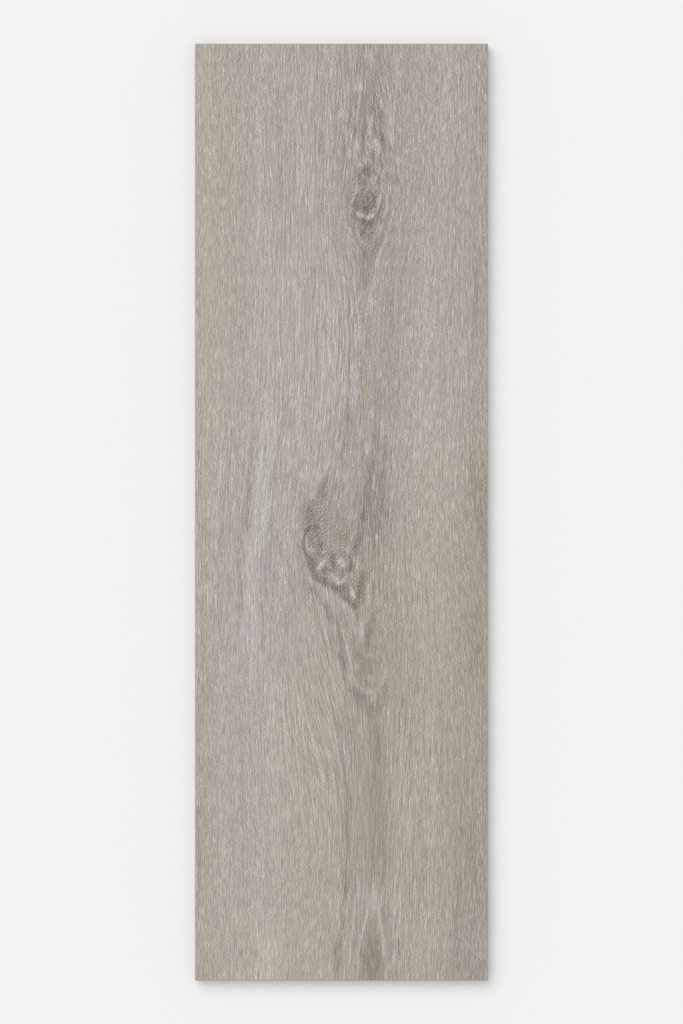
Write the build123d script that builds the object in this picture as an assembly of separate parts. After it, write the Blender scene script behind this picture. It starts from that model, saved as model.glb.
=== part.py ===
from build123d import *
import os

# A wood-effect porcelain floor tile: one plank, pressed from dry clay powder, printed, glazed,
# fired and then ground to size on its four edges, so it is a single solid.
# The walking face looks up (+Z), the long side runs along Y, and the origin is at the middle of
# the plane that the tile beds on. All sizes are in millimetres.

# Outline
length = 598.0          # long side, along Y, as ground
width = 187.0           # short side, along X, as ground
thickness = 9.0         # from the tops of the back ribs to the walking face

# Edges
face_arris = 0.6        # 45 degree bevel ground round the walking face, along each leg
back_arris = 0.4        # smaller bevel that takes the burr off the bedding side

# Back keys: shallow pockets that the adhesive locks into, with ribs left standing between them
key_depth = 0.8         # pocket floor above the rib tops that the tile rests on
key_pitch = 29.0        # wished spacing of the pockets, centre to centre, in both directions
key_draft = 30.0        # lean of a pocket's walls, in degrees, so that the press lets go
key_corner = 3.0        # cut across each corner of a pocket's mouth, along each leg
rib_width = 3.0         # top of a rib, between two pockets
rim_width = 8.0         # flat band left whole round the edge of the back


def key_row(side):
    """How many pockets a side takes at about the wished pitch, and the mouth that fills it."""
    field = side - 2 * rim_width
    count = max(1, round((field + rib_width) / key_pitch))
    mouth = (field - (count - 1) * rib_width) / count
    return count, mouth


def pressed_body():
    """The plank's body: square ground sides, with the small bevels round its two faces."""
    body = extrude(Rectangle(width, length), amount=thickness)
    face_edges = body.faces().sort_by(Axis.Z)[-1].edges()
    body = chamfer(face_edges, face_arris)
    back_edges = body.faces().sort_by(Axis.Z)[0].edges()
    return chamfer(back_edges, back_arris)


def back_keys():
    """The pockets of the back, as the solids that are taken out of the body."""
    columns, mouth_x = key_row(width)
    rows, mouth_y = key_row(length)
    mouth = Rectangle(mouth_x, mouth_y)
    mouth = chamfer(mouth.vertices(), key_corner)
    key = extrude(mouth, amount=key_depth, taper=key_draft)
    spots = GridLocations(mouth_x + rib_width, mouth_y + rib_width, columns, rows)
    return [spot * key for spot in spots]


tile = pressed_body() - back_keys()

os.makedirs("parts", exist_ok=True)
export_step(tile, "parts/tile.step")
print("tile", round(tile.volume / 1000.0, 1), "cm3")
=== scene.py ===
import math

import bmesh
import bpy
import numpy as np
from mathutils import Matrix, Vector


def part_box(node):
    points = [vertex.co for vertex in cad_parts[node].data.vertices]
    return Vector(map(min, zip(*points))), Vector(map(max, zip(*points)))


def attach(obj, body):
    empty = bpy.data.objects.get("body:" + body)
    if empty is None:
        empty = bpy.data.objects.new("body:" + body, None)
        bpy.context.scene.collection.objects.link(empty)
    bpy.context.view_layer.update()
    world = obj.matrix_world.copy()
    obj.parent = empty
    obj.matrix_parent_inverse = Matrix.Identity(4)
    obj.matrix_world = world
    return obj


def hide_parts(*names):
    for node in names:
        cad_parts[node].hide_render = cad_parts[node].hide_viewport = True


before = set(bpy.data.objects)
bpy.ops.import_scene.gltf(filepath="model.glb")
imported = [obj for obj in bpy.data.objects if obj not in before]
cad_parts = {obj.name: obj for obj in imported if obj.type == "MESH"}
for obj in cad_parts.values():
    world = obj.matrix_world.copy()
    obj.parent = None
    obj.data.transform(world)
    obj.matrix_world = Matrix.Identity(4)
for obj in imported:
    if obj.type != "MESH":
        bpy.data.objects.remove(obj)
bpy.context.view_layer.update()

# A wood-effect porcelain floor tile, seen square-on from above with its printed face up.
# Lengths in the settings are millimetres. The scene itself is in metres.
mm = 0.001
tileLow, tileHigh = (np.array(corner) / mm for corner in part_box("tile"))
tileWidth, tileLength, tileThick = (float(side) for side in tileHigh - tileLow)
print("tile from the frame:", round(tileWidth, 1), round(tileLength, 1), round(tileThick, 1), "mm")


# Small helpers for node trees

def addNode(tree, kind, inputs=None, **settings):
    # inputs maps a socket's name or number to a value, or to the socket that feeds it
    made = tree.nodes.new(kind)
    for name, value in settings.items():
        setattr(made, name, value)
    for key, value in (inputs or {}).items():
        if isinstance(value, bpy.types.NodeSocket):
            tree.links.new(value, made.inputs[key])
        else:
            made.inputs[key].default_value = value
    return made


def calc(tree, operation, first, second=0.0, third=0.0):
    return addNode(tree, "ShaderNodeMath", {0: first, 1: second, 2: third}, operation=operation).outputs[0]


def vectorCalc(tree, operation, *vectors):
    made = addNode(tree, "ShaderNodeVectorMath", dict(enumerate(vectors)), operation=operation)
    return made.outputs["Value" if operation == "DOT_PRODUCT" else "Vector"]


def remap(tree, value, fromLow, fromHigh, toLow, toHigh):
    ends = {"Value": value, "From Min": fromLow, "From Max": fromHigh, "To Min": toLow, "To Max": toHigh}
    return addNode(tree, "ShaderNodeMapRange", ends, interpolation_type="SMOOTHSTEP").outputs["Result"]


def stretched(tree, vector, across, along, shift=0.0):
    # a pattern space whose unit is across by along, in mm, on coordinates in metres;
    # shift moves it, so that two patterns don't look alike
    scale = (1 / (across * mm), 1 / (along * mm), 1 / (across * mm))
    return vectorCalc(tree, "MULTIPLY_ADD", vector, scale, (shift, shift, shift))


def noise(tree, vector, detail=0.0, roughness=0.5, distortion=0.0):
    # as much above nothing as below it
    kind = {"Scale": 1.0, "Detail": detail, "Roughness": roughness, "Distortion": distortion}
    made = addNode(tree, "ShaderNodeTexNoise", {"Vector": vector, **kind})
    return calc(tree, "SUBTRACT", made.outputs["Fac"], 0.5)


def evenGrain(tree, grain, cell):
    # grain coordinates whose lines keep their spacing where the grain opens up: cells of the grain
    # are each brought back to true width, and set apart so that no two are alike
    apart = 0.047       # metres of pattern from one cell to the next
    across, along, spread = addNode(tree, "ShaderNodeSeparateXYZ", {0: grain}).outputs
    number = calc(tree, "FLOOR", calc(tree, "DIVIDE", across, cell * mm))
    inCell = calc(tree, "MULTIPLY_ADD", number, -cell * mm, across)
    inCell = calc(tree, "DIVIDE", calc(tree, "SUBTRACT", inCell, cell / 2 * mm), spread)
    across = calc(tree, "MULTIPLY_ADD", number, apart, inCell)
    return addNode(tree, "ShaderNodeCombineXYZ", {0: across, 1: along}).outputs[0]


def grey(level):
    # a display level of 255 as the linear colour that the nodes take
    value = ((level / 255 + 0.055) / 1.055) ** 2.4
    return [value, value, value, 1.0]


def newMaterial(name):
    # the material, and the inputs of its shader
    material = bpy.data.materials.new(name)
    material.use_nodes = True
    return material, material.node_tree.nodes["Principled BSDF"].inputs


# Camera, floor and light

shot = {
    "pictureHeight": 1024,      # pixels, for a picture 683 wide
    "tilePixels": 937.45,       # the tile's length in that picture
    "lens": 90.0,
    "sensor": 36.0,             # on the picture's long side
    "aside": (0.05, 0.09),      # mm, so that the tile lies in the picture as it does in the photo
}
light = {
    "floorLevel": 243,          # display level of the white ground
    "floorSize": 8.0,           # metres
    "ambient": 0.68,            # share of the light that comes from all round
    "sunTilt": 40.0,            # degrees from straight above
    "sunFrom": (-0.62, 0.78),   # the side it comes from, upper left in the picture
    "sunSize": 50.0,            # degrees across, for a soft shadow
}


def makeCamera():
    viewHeight = tileLength * shot["pictureHeight"] / shot["tilePixels"] * mm
    distance = viewHeight / 2 / (shot["sensor"] / 2 / shot["lens"])
    data = bpy.data.cameras.new("squareOnCamera")
    data.lens = shot["lens"]
    data.sensor_width = shot["sensor"]
    data.clip_end = 50.0
    camera = bpy.data.objects.new("squareOnCamera", data)
    camera.location = (shot["aside"][0] * mm, shot["aside"][1] * mm, tileThick * mm + distance)
    bpy.context.scene.collection.objects.link(camera)
    bpy.context.scene.camera = camera


def makeFloor():
    half = light["floorSize"] / 2
    mesh = bpy.data.meshes.new("whiteGround")
    corners = [(-half, -half, 0), (half, -half, 0), (half, half, 0), (-half, half, 0)]
    mesh.from_pydata(corners, [], [(0, 1, 2, 3)])
    floor = bpy.data.objects.new("whiteGround", mesh)
    bpy.context.scene.collection.objects.link(floor)
    material, surface = newMaterial("matteWhiteGround")
    surface["Base Color"].default_value = grey(light["floorLevel"])
    surface["Roughness"].default_value = 1.0
    surface["Specular IOR Level"].default_value = 0.0
    mesh.materials.append(material)


def makeLight():
    # sun and sky together give a white sheet on the ground a level of one
    tilt = math.radians(light["sunTilt"])
    sun = bpy.data.lights.new("softKey", "SUN")
    sun.energy = (1 - light["ambient"]) * math.pi / math.cos(tilt)
    sun.angle = math.radians(light["sunSize"])
    lamp = bpy.data.objects.new("softKey", sun)
    side = np.array(light["sunFrom"]) / np.linalg.norm(light["sunFrom"])
    lamp.rotation_mode = "QUATERNION"
    pointing = -np.array([*(side * math.sin(tilt)), math.cos(tilt)])
    lamp.rotation_quaternion = Vector(pointing).to_track_quat("-Z", "Y")
    bpy.context.scene.collection.objects.link(lamp)
    world = bpy.data.worlds.new("paleStudio")
    bpy.context.scene.world = world
    world.use_nodes = True
    tree = world.node_tree
    tree.nodes.clear()
    rays = addNode(tree, "ShaderNodeLightPath")
    seen = calc(tree, "MAXIMUM", rays.outputs["Is Camera Ray"], rays.outputs["Is Glossy Ray"])
    seen = calc(tree, "MAXIMUM", seen, rays.outputs["Is Transmission Ray"])
    lit = addNode(tree, "ShaderNodeBackground", {"Color": (1, 1, 1, 1), "Strength": light["ambient"]})
    shown = addNode(tree, "ShaderNodeBackground", {"Color": grey(light["floorLevel"]), "Strength": 1.0})
    mixed = addNode(tree, "ShaderNodeMixShader", {0: seen, 1: lit.outputs[0], 2: shown.outputs[0]})
    addNode(tree, "ShaderNodeOutputWorld", {"Surface": mixed.outputs[0]})


bpy.context.scene.view_settings.view_transform = "Standard"
makeCamera()
makeFloor()
makeLight()
print("camera, ground and light made")


# The grain. Each swing pushes the straight lines of the wood sideways round a knot:
# it is centred at x, y, moves a line by shift, and dies away over reaches to the left, right,
# above and below. Across counts from line to line, so a line keeps one value down the tile.

grainSwings = [
    # x, y, shift, left, right, above, below
    (4, 182, -7, 17, 9, 74, 30),            # upper knot, its left side
    (33, 203, 12, 13, 18, 123, 47),         # upper knot, its right side
    (-12, -34, -13, 74, 31, 76, 197),       # lower knot, all that lies left of it
    (43, -6, -4, 14, 28, 79, 68),           # lower knot, its right side
    (-1, -171, 17, 21, 20, 90, 126),        # lines that close up again below the lower knot
    (29, -277, -11, 12, 25, 170, 118),      # and from the right, down to the flame
    (92, -150, 7, 25, 19, 161, 260),        # slow lean at the lower right edge
    (57, 314, 6, 20, 42, 60, 118),          # slow lean at the upper right
    (-34, -300, -6, 46, 16, 60, 60),        # slow lean at the lower left
]


def grainAcross(x, y):
    moved = np.zeros_like(x)
    for atX, atY, shift, left, right, above, below in grainSwings:
        aside = (x - atX) / np.where(x < atX, left, right)
        alongside = (y - atY) / np.where(y > atY, above, below)
        moved += shift * np.exp(-aside ** 2 - alongside ** 2)
    return x - moved


# The print. Tones are display levels against the base colour. Broad tones and contrast are placed
# in mm from the tile's middle, the marks of the knots in pixels of the photo.

photo = {
    "middle": (341.1, 511.7),   # where the tile's middle lies in the photo
    "pixel": 0.638,             # mm of tile to a pixel
    "wobble": 0.45,             # mm that the edges of the marks wander
    "wobbleSize": 4.0,
    "patchy": 0.3,              # how unevenly a mark covers
    "patchSize": 1.8,
    "seeds": (3, 4, 5),         # for the wobble in x, in y, and the patches
}

# what a named tint adds to red, green and blue
tints = {
    "plain": (0, 0, 0),
    "lilac": (-2.2, -1.6, 3.8),
    "blue": (-4.4, 0.2, 4.2),
    "brown": (1.4, -0.4, -1.0),
    "olive": (-0.4, 0.8, -1.2),
}

broadTones = [
    # x, y, reach across, reach along, tone
    (-22, 275, 6, 16, 5), (-87, 270, 6, 50, 2.5), (66, 265, 7, 45, 6.5), (-87, 265, 6, 30, 3),
    (-9, 259, 6, 50, 2), (16, 258, 16, 22, -4), (80, 230, 6, 70, 2), (22, 220, 22, 80, -5),
    (45, 200, 20, 15, -2), (91, 200, 5, 15, -3.5), (-25, 180, 6, 110, 3), (42, 160, 6, 20, -2.5),
    (-86, 160, 6, 160, 3.4), (88, 150, 12, 260, -2), (-22, 121, 6, 20, 2.5), (20, 115, 8, 50, 5),
    (-4, 110, 16, 80, 5), (90, 92, 8, 20, 4.5), (-35, 91, 6, 18, 3.5), (29, 91, 5, 16, -2.5),
    (-64, 90, 5, 190, -2.5), (16, 81, 6, 20, 2), (16, 60, 15, 900, -8), (52, 60, 16, 150, 6),
    (88, 55, 12, 25, 2), (-87, 41, 5, 18, 2.5), (90, 41, 5, 20, 3), (71, 28, 8, 34, 5), (91, 17, 5, 16, -5),
    (93, 0, 5, 15, -3), (64, 0, 16, 36, -2.8), (-14, -10, 18, 34, -6), (-11, -30, 16, 30, -3),
    (-55, -40, 60, 300, 8), (-49, -60, 9, 900, 3.5), (68, -60, 16, 300, 4), (-30, -60, 60, 45, -2),
    (93, -77, 5, 18, 2.5), (-86, -92, 6, 18, -2.5), (36, -95, 12, 30, -3), (-87, -117, 5, 18, -2.5),
    (16, -117, 6, 20, -3), (90, -120, 22, 190, -9), (41, -130, 6, 20, -8), (16, -131, 5, 14, 3.5),
    (48, -150, 12, 40, 3), (16, -157, 6, 18, 4), (42, -157, 6, 18, -4), (84, -165, 10, 60, 5),
    (68, -190, 16, 120, -3), (16, -196, 6, 20, 2), (2, -212, 6, 28, -5), (-90, -220, 10, 120, -3),
    (24, -225, 10, 35, -3), (-80, -235, 16, 40, 2.5), (22, -268, 10, 25, -3), (-84, -275, 10, 20, 2.5),
    (-22, -275, 8, 20, 2.5), (90, -275, 5, 20, 3), (4, -278, 6, 20, 4), (55, -280, 14, 26, 5),
    (16, -282, 5, 18, -8), (68, -283, 7, 16, -4.5), (-47, -284, 8, 20, 10), (80, -294, 24, 14, -5),
]

# how strongly the ticks of the print stand out, as a share added to their strength
contrastPatches = [
    # x, y, reach across, reach along, gain
    (20, 240, 30, 60, 0.30), (-8, -25, 30, 45, 0.20), (0, 40, 60, 60, 0.12), (85, -250, 25, 90, 0.08),
    (17, -190, 9, 70, -0.35), (-24, 150, 22, 80, -0.17), (-20, -120, 20, 50, -0.08), (-60, 265, 50, 50, 0.14),
    (70, 265, 40, 50, 0.14), (59, -168, 25, 50, -0.12), (-75, 110, 25, 70, -0.12), (45, 120, 25, 60, 0.08),
]

# parts of the print that are a little warmer or cooler
tintPatches = [
    # x, y, reach across, reach along, tint, share
    (-84, 215, 16, 120, "olive", 0.5), (31, 167, 75, 150, "lilac", 0.11), (-33, 27, 35, 110, "lilac", 0.10),
    (63, -90, 45, 110, "olive", 0.45), (-20, -165, 20, 75, "olive", 0.45), (19, -130, 14, 110, "brown", 0.4),
    (-55, -170, 22, 90, "lilac", 0.10), (-56, -45, 11, 50, "lilac", 0.16), (-38, -25, 9, 40, "lilac", 0.18),
    (-50, 25, 9, 25, "brown", 0.4),
]

# how far the ticks run along the grain: a share above nothing gives long lines, below it short ones
flowLimits = (-1, 1.5)
flowPatches = [
    # x, y, reach across, reach along, share
    (-24, 150, 22, 80, 1.2), (2, 110, 18, 40, 1.2), (8, 250, 18, 45, 1.0), (-30, 65, 22, 40, 0.6),
    (-62, 10, 25, 30, 0.7), (27, -37, 12, 30, 0.9), (2, -170, 16, 120, 1.2), (-24, -130, 22, 40, 0.6),
    (34, -195, 22, 80, 1.1), (52, -140, 14, 30, 0.5), (-80, 170, 18, 50, -0.8), (-62, 269, 26, 35, -0.5),
    (-80, -130, 20, 40, -0.7), (-60, -245, 30, 40, -0.35), (-24, -245, 14, 35, -0.9), (52, 235, 18, 60, -0.5),
    (60, 150, 20, 50, -0.3), (27, 65, 12, 30, -0.9), (27, -88, 12, 25, -0.7), (80, -45, 20, 60, -0.8),
    (52, 20, 16, 40, -0.6),
]

# where the knots' own curled figure takes the place of straight ticks
curledPatches = [
    # x, y, reach across, reach along, share
    (15, 200, 9, 17, 1.0),
    (17, 176, 8, 11, 0.9),
    (-16, -8, 9, 24, 1.2),
    (-12, -34, 12, 14, 1.0),
    (0, -26, 10, 22, 0.9),
    (8, -50, 10, 14, 0.9),
]

# faint streaks at random places, brighter or darker
faintStreaks = {
    "seed": 11,
    "count": 300,
    "length": (50.0, 200.0),
    "halfWidth": (0.6, 1.8),
    "tone": 3.0,
    "least": 0.3,               # share of that tone which the faintest has
}

# streaks that follow one line of the grain
grainStreaks = [
    # line, top, bottom, half width, tone
    (-39, 262, 150, 1.1, -8), (-38, 228, 192, 1.4, -6), (-44.5, 285, 225, 1.2, -6), (-53, 285, 130, 1.0, 6),
    (-30, 190, 120, 0.6, 6), (-24, 200, 120, 0.6, 6), (-26.5, 145, 112, 0.8, 10), (-7.5, 140, 104, 0.6, 8),
    (-34, 290, 240, 0.6, 5), (5.5, 155, 20, 1.0, -12), (-17, 160, 95, 0.8, -8), (-18, 110, 78, 1.0, -6),
    (33, 175, 60, 0.8, -9), (30.5, 160, 88, 0.7, -8), (36, 190, 108, 1.2, -7), (28, 150, 90, 0.6, -6),
    (70, 235, 108, 0.7, -8), (71, 60, 20, 0.6, -5), (85, 185, 95, 1.3, -8), (82.5, 290, 240, 0.9, -6),
    (86, 150, 120, 1.6, -5), (-53.5, 60, -15, 1.4, -8), (-36.5, 70, -25, 1.0, -9), (-34, 10, -45, 0.8, -6),
    (-29.5, 65, 20, 0.6, 8), (-40, 110, 60, 0.7, 5), (23, 95, -20, 0.8, -10), (26, 80, -40, 1.0, -9),
    (29.5, 60, -15, 1.0, -10), (20.5, 40, -15, 0.8, -9), (50, 100, 30, 0.6, 4), (62, 240, 160, 0.6, 4),
    (45, 20, -60, 0.6, -4), (40, -20, -95, 0.8, -7), (-58, -115, -275, 1.0, -8), (-49, -72, -118, 1.4, 10),
    (-89, -175, -255, 0.8, -11), (-84, -200, -240, 0.6, -6), (44.5, -235, -275, 0.6, 8),
    (43, -150, -230, 0.6, 5), (60, -150, -220, 1.2, 4), (57, -190, -270, 0.8, 4),
]

# crisp marks, painted over one another in this order
crispMarks = [
    # tone, tint, then x, y and half width at each point along the mark
    # blue band left of the lower knot
    (14, "lilac", (266, 420, 2), (264, 440, 4), (262, 462, 4.5)),
    (15, "blue", (273, 430, 2), (272, 441, 4), (271, 462, 4)),
    (17, "blue", (265, 466, 4), (262, 485, 6), (261, 515, 7), (259, 540, 6), (258, 556, 4)),
    (15, "blue", (254, 520, 3), (250, 550, 5), (251, 580, 5.5), (251, 605, 5), (249, 625, 4)),
    (12, "lilac", (250, 622, 4), (246, 640, 5), (243, 652, 4)), (9, "lilac", (258, 548, 4), (258, 572, 3)),
    (10, "blue", (282, 593, 3), (281, 604, 4)), (12, "blue", (304, 341, 4), (304, 350, 4)),
    (14, "lilac", (300, 301, 1.5), (300, 318, 1.3)), (-5, "plain", (262, 600, 1.2), (262, 650, 1.2)),
    (-8, "plain", (285, 608, 1.6), (286, 634, 1.6)), (-9, "plain", (288, 578, 0.9), (296, 606, 1.1)),
    (-10, "plain", (277, 444, 1.5), (281, 432, 1.2), (286, 414, 1)),
    (-8, "plain", (248, 466, 1.4), (249, 494, 1.6)), (-10, "plain", (240, 560, 1.2), (241, 596, 1.4)),
    (-4, "brown", (347, 312, 1.2), (348, 346, 1.2)), (14, "plain", (330, 294, 0.9), (329, 332, 0.9)),
    (13, "plain", (344, 318, 1.1), (344, 348, 1)), (18, "plain", (345, 376, 1.2), (343, 395, 1.2)),
    (15, "plain", (310, 360, 1.1), (308, 380, 1)), (10, "plain", (313, 298, 1.1), (313, 318, 1)),
    # above the upper knot
    (7, "lilac", (368, 46, 2.5), (369, 60, 3.5), (369, 69, 3)), (16, "plain", (366, 71, 1), (367, 78, 1)),
    (-18, "plain", (361, 46, 1.3), (361, 62, 1.5)), (-20, "plain", (374, 53, 1), (374, 59, 1)),
    (-17, "plain", (376, 60, 1.2), (377, 78, 1.6)), (-14, "plain", (378, 78, 1.8), (379, 108, 2.2)),
    (18, "plain", (360, 82, 1), (361, 93, 1)), (7, "lilac", (356, 84, 3), (356, 92, 4)),
    (14, "plain", (349, 73, 0.9), (348, 96, 0.9)), (-15, "brown", (364, 83, 2), (365, 114, 2.6)),
    (-23, "plain", (369, 90, 1.2), (369, 94, 1.2)), (-20, "plain", (386, 82, 1), (386, 92, 1)),
    (8, "lilac", (397, 70, 2.5), (397, 82, 3)), (24, "plain", (397, 82, 1.1), (396, 89, 1.1)),
    (-13, "plain", (378, 110, 3.5), (378, 128, 3.5)), (9, "plain", (381, 99, 1.2), (381, 109, 1.2)),
    (-18, "plain", (382, 109, 1.2), (382, 130, 1.2)), (7, "lilac", (392, 106, 2), (393, 124, 2)),
    (12, "lilac", (385, 92, 1.3), (387, 106, 1.8), (388, 120, 2.2), (389, 130, 1.8)),
    (27, "plain", (388, 129, 1.1), (390, 137, 1.4), (391, 145, 1.1)),
    (-17, "plain", (383, 133, 2), (383, 150, 2)), (-22, "blue", (387, 146, 1.2), (388, 153, 1.2)),
    (-1, "lilac", (348, 106, 2.2), (349, 120, 2.5)), (16, "plain", (343, 108, 1), (344, 118, 1)),
    (14, "plain", (368, 112, 1.2), (369, 127, 1.2)), (19, "plain", (371, 116, 1), (371, 126, 1)),
    (11, "lilac", (346, 127, 2.5), (348, 139, 3)), (9, "blue", (369, 127, 2), (369, 137, 2)),
    (-24, "plain", (362, 125, 1.3), (363, 142, 1.4)),
    (16, "blue", (374, 137, 2.5), (376, 144, 4), (378, 151, 3)), (15, "blue", (375, 140, 1.8), (377, 147, 2)),
    (15, "blue", (368, 140, 1.2), (369, 148, 1.2)), (-15, "plain", (364, 141, 1.2), (364, 149, 1.2)),
    (5, "lilac", (356, 137, 3.5), (356, 151, 4)), (-32, "plain", (371, 150, 1), (373, 159, 1.3)),
    (14, "plain", (367, 150, 1.1), (367, 155, 1)), (12, "plain", (377, 150, 1.1), (377, 155, 1)),
    # upper knot, its head
    (-10, "plain", (362, 160, 5), (365, 170, 8), (368, 182, 8), (366, 200, 9), (366, 222, 9), (367, 236, 5)),
    (14, "blue", (349, 150, 1.6), (350, 160, 2)), (17, "plain", (356, 167, 1.4), (363, 163, 1.8)),
    (4, "blue", (358, 161, 1.5), (366, 159, 2.2), (373, 163, 1.5)),
    (-28, "plain", (367, 165, 3.4), (368, 171, 5), (369, 177, 3)),
    (-36, "plain", (366, 169, 1.6), (368, 172, 1.5)), (-28, "plain", (359, 173, 1.2), (359, 180, 1.4)),
    (12, "plain", (362, 173, 1.2), (363, 179, 1.3)), (9, "lilac", (364, 177, 1.1), (369, 178, 1)),
    (22, "lilac", (378, 164, 1.2), (379, 173, 1.9)), (7, "lilac", (382, 172, 1.6), (383, 180, 1.8)),
    (15, "plain", (371, 177, 1.1), (371, 183, 1.2)), (8, "lilac", (374, 181, 1.7), (374, 188, 1.8)),
    (9, "lilac", (381, 180, 1.4), (381, 190, 1.6), (379, 199, 1.2)),
    (13, "plain", (378, 196, 1.1), (379, 204, 1.2)), (-10, "lilac", (381, 192, 1), (382, 199, 1)),
    (4, "lilac", (384, 185, 2.5), (391, 190, 3)), (-14, "lilac", (366, 180, 2), (366, 183, 2)),
    # upper knot, its heart
    (-12, "plain", (361, 181, 2.3), (362, 191, 3)), (15, "plain", (369, 184, 1.3), (366, 191, 1.2)),
    (-22, "plain", (361, 189, 3), (361, 197, 5), (359, 205, 6)),
    (-23, "plain", (366, 193, 3.5), (366, 202, 6), (366, 211, 4)),
    (-25, "plain", (355, 199, 3), (355, 207, 3.5)),
    (8, "lilac", (357, 182, 1.4), (357, 188, 2), (356, 194, 1.3)),
    (-36, "plain", (370, 190, 1.2), (373, 196, 1.7), (374, 202, 1.7)),
    (-30, "plain", (374, 202, 2.2), (371, 209, 2)),
    (-35, "brown", (362, 203, 2), (366, 211, 3.5), (370, 212, 1.5)),
    (13, "plain", (355, 194, 1), (352, 200, 1.2), (350, 207, 1.1), (350, 214, 1)),
    (-14, "plain", (352, 185, 1), (351, 195, 1)),
    (33, "plain", (356, 212, 1.4), (360, 215, 2.4), (364, 217, 1.7)),
    (26, "plain", (363, 218, 1), (368, 219, 1)),
    (40, "plain", (366, 219, 1.1), (370, 216, 2.2), (373, 213, 1.3)),
    (2, "plain", (371, 210, 1.1), (377, 209, 1.1)), (10, "plain", (374, 211, 1), (379, 206, 0.9)),
    (-27, "plain", (352, 211, 1.3), (355, 217, 2.5), (357, 224, 2.2)),
    (2, "lilac", (353, 218, 1.1), (354, 223, 1.1)),
    (-35, "brown", (360, 219, 1.6), (365, 222, 3.5), (370, 225, 3.2)),
    (-32, "plain", (371, 219, 1.3), (372, 226, 1.4)),
    (-20, "plain", (382, 205, 1.8), (380, 213, 3), (376, 220, 2.8)),
    (-3, "plain", (354, 225, 2.5), (359, 229, 2.8)), (-29, "plain", (362, 229, 1.8), (362, 237, 1.8)),
    (6, "lilac", (367, 229, 1.4), (368, 234, 1.5)), (-3, "lilac", (373, 230, 1.5), (374, 236, 1.5)),
    (-17, "plain", (365, 237, 1.4), (371, 238, 1.5)),
    # pale rings below the upper knot
    (18, "plain", (354, 229, 0.9), (358, 235, 1.1), (362, 242, 0.9)),
    (21, "plain", (360, 239, 0.8), (364, 241, 1.2), (368, 240, 0.8)),
    (15, "plain", (370, 243, 0.8), (373, 238, 1), (376, 232, 0.8)),
    (12, "plain", (349, 226, 0.8), (352, 236, 1), (356, 246, 0.9), (358, 254, 0.8)),
    (10, "plain", (342, 211, 0.7), (344, 222, 0.9), (348, 232, 0.9), (353, 245, 0.7)),
    (6, "lilac", (361, 243, 1.8), (367, 244, 3), (371, 247, 1.8)),
    (7, "lilac", (377, 223, 2), (379, 229, 3.5), (378, 236, 2)), (21, "plain", (379, 225, 1), (379, 228, 1)),
    (14, "plain", (393, 211, 0.9), (391, 220, 1.1), (388, 230, 0.9)),
    (22, "lilac", (386, 235, 1.2), (384, 244, 1.3)),
    (-9, "plain", (384, 228, 1.4), (384, 238, 1.6), (381, 249, 1.3)),
    (12, "plain", (389, 203, 0.9), (385, 213, 1.1), (382, 220, 0.9)),
    (-16, "brown", (365, 249, 1.2), (365, 258, 1.4)), (-14, "plain", (371, 248, 0.8), (371, 264, 0.9)),
    (22, "blue", (381, 246, 1), (378, 258, 1.5), (375, 268, 1.2), (373, 280, 1.3), (372, 293, 1.1)),
    (8, "lilac", (372, 288, 1.8), (369, 307, 2)), (12, "lilac", (383, 273, 0.9), (382, 287, 1.1)),
    (-12, "plain", (392, 206, 1.2), (385, 225, 2), (378, 246, 1.4), (374, 260, 1)),
    (10, "plain", (398, 252, 0.8), (396, 275, 1), (394, 300, 0.8)),
    (-9, "plain", (393, 288, 1.2), (393, 340, 1.2)),
    # between the knots
    (14, "blue", (353, 358, 1.6), (354, 375, 2.5), (355, 395, 2.6), (354, 410, 2)),
    (-7, "brown", (359, 364, 1), (361, 384, 1.3), (359, 402, 1)),
    (15, "blue", (382, 418, 1.5), (382, 437, 2)), (16, "plain", (372, 407, 1.2), (373, 417, 1.2)),
    (-13, "plain", (379, 384, 1.8), (378, 412, 1.8)), (-10, "plain", (390, 388, 1.4), (390, 422, 1.6)),
    (3, "lilac", (370, 420, 1.8), (370, 440, 2)), (-9, "brown", (375, 428, 1.5), (375, 446, 1.6)),
    (15, "plain", (358, 424, 1.1), (359, 438, 1.1)), (21, "plain", (366, 442, 1.3), (367, 456, 1.3)),
    (15, "plain", (374, 444, 1), (374, 454, 1)),
    (-12, "plain", (348, 410, 1.4), (346, 435, 3), (341, 462, 2.4)),
    (10, "plain", (344, 424, 0.9), (338, 450, 1.1), (334, 470, 0.9)),
    (11, "plain", (330, 409, 0.9), (322, 441, 1)), (15, "blue", (303, 469, 4), (302, 480, 4)),
    (18, "lilac", (314, 467, 2.5), (318, 479, 3)), (14, "lilac", (311, 479, 3), (309, 489, 3.5)),
    (6, "lilac", (326, 473, 3), (347, 474, 4)), (6, "lilac", (323, 457, 1.8), (320, 470, 2)),
    (-12, "plain", (323, 476, 1.6), (327, 479, 1.6)), (26, "plain", (373, 472, 0.9), (374, 489, 0.9)),
    (-20, "plain", (369, 468, 1.1), (370, 484, 1.2)), (-16, "plain", (377, 474, 1.8), (377, 486, 1.8)),
    (-18, "lilac", (366, 484, 1.2), (365, 499, 1.2)), (8, "lilac", (362, 490, 1.3), (363, 500, 1.3)),
    (-28, "plain", (363, 506, 1), (363, 522, 1.1)), (-22, "plain", (361, 514, 1.2), (361, 520, 1.2)),
    (-18, "plain", (369, 494, 1.2), (369, 509, 1.2)), (-18, "plain", (384, 493, 1), (384, 517, 1)),
    (-12, "brown", (375, 493, 2.5), (376, 521, 2.5)), (10, "lilac", (354, 509, 1.5), (353, 520, 1.5)),
    (-15, "plain", (360, 522, 2.4), (360, 529, 2.4)),
    (-20, "plain", (372, 526, 1.1), (369, 534, 1.2), (374, 538, 1.1)),
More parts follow.
